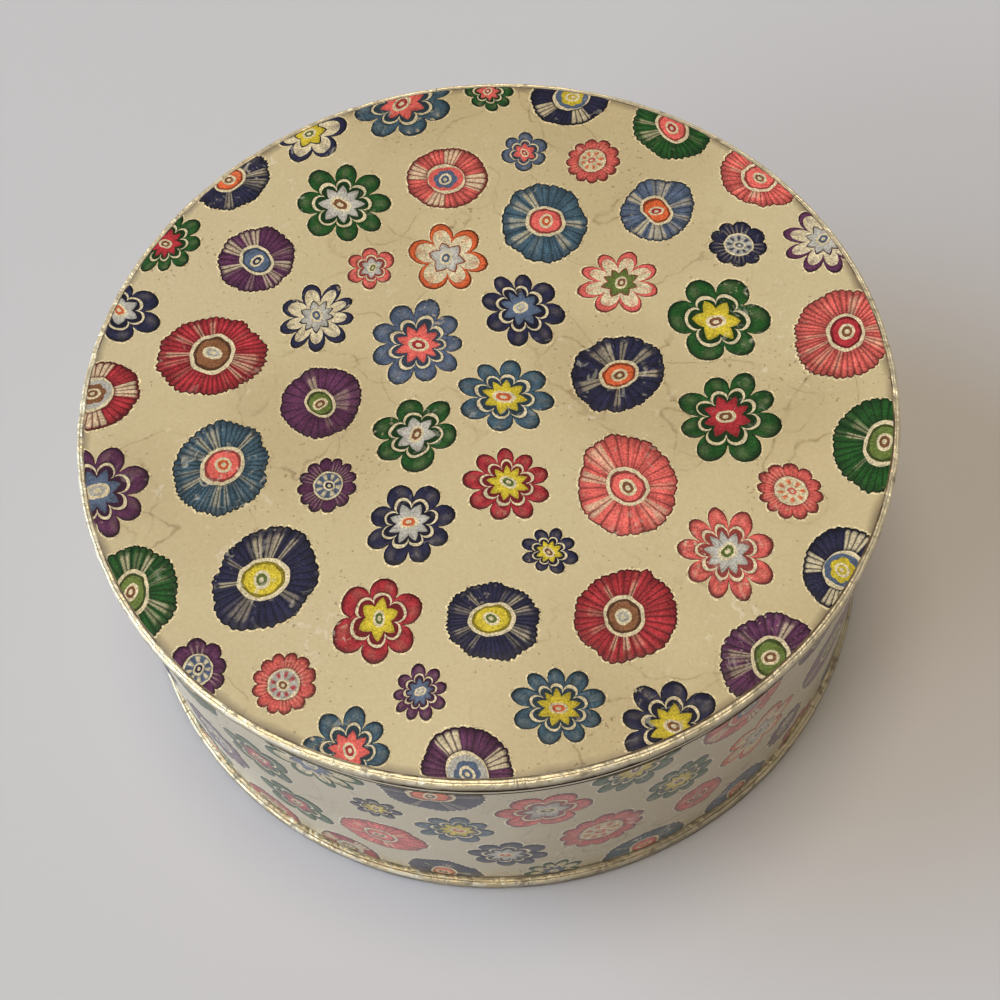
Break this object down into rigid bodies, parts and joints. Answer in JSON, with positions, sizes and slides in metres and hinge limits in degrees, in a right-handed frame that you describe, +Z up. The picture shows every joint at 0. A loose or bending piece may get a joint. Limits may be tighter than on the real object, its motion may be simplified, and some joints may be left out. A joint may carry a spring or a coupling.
{
  "type": "powder box",
  "caption": "Round paperboard dusting-powder box with gilt edges, a printed full-depth lift-off lid over a necked tub, and a ribboned puff on a shelf inside.",
  "frame": {"origin": "centre of the underside, on the surface that the box stands on", "axes": "+Z up along the box's axis; +Y points to the lapped seam of the side paper at the back"},
  "size_m": [0.132, 0.132, 0.0535],
  "materials": {
    "chipboard": "matt grey-brown chipboard",
    "gilt_foil": "gilt metallic foil paper, cracked and rubbed along the edge",
    "printed_paper": "cream printed paper with a low gloss, aged and water-stained",
    "plain_paper": "plain ivory lining paper, matt",
    "velour": "soft short-pile velour",
    "satin": "coral satin with a soft sheen"
  },
  "bodies": {
    "base": {"base_board": "chipboard", "base_edging": "gilt_foil", "base_cover": "plain_paper", "neck_tube": "chipboard", "neck_cover": "plain_paper", "tub_lining": "plain_paper", "tub_floor": "plain_paper", "spacer_tube": "chipboard", "shelf_ring": "plain_paper"},
    "lid": {"lid_board": "chipboard", "lid_edging": "gilt_foil", "lid_print": "printed_paper", "lid_hoop": "chipboard", "lid_wrap": "printed_paper", "lid_lining": "plain_paper", "lid_ceiling": "plain_paper"},
    "puff": {"puff_pad": "velour", "puff_back": "satin", "puff_binding": "satin", "puff_ribbon": "satin"}
  },
  "joints": [
    {"name": "lid_lift", "type": "slide", "parent": "base", "child": "lid", "axis": [0, 0, 1], "range_m": [0, 0.1]},
    {"name": "puff_lift", "type": "slide", "parent": "base", "child": "puff", "axis": [0, 0, 1], "range_m": [0, 0.01]}
  ]
}
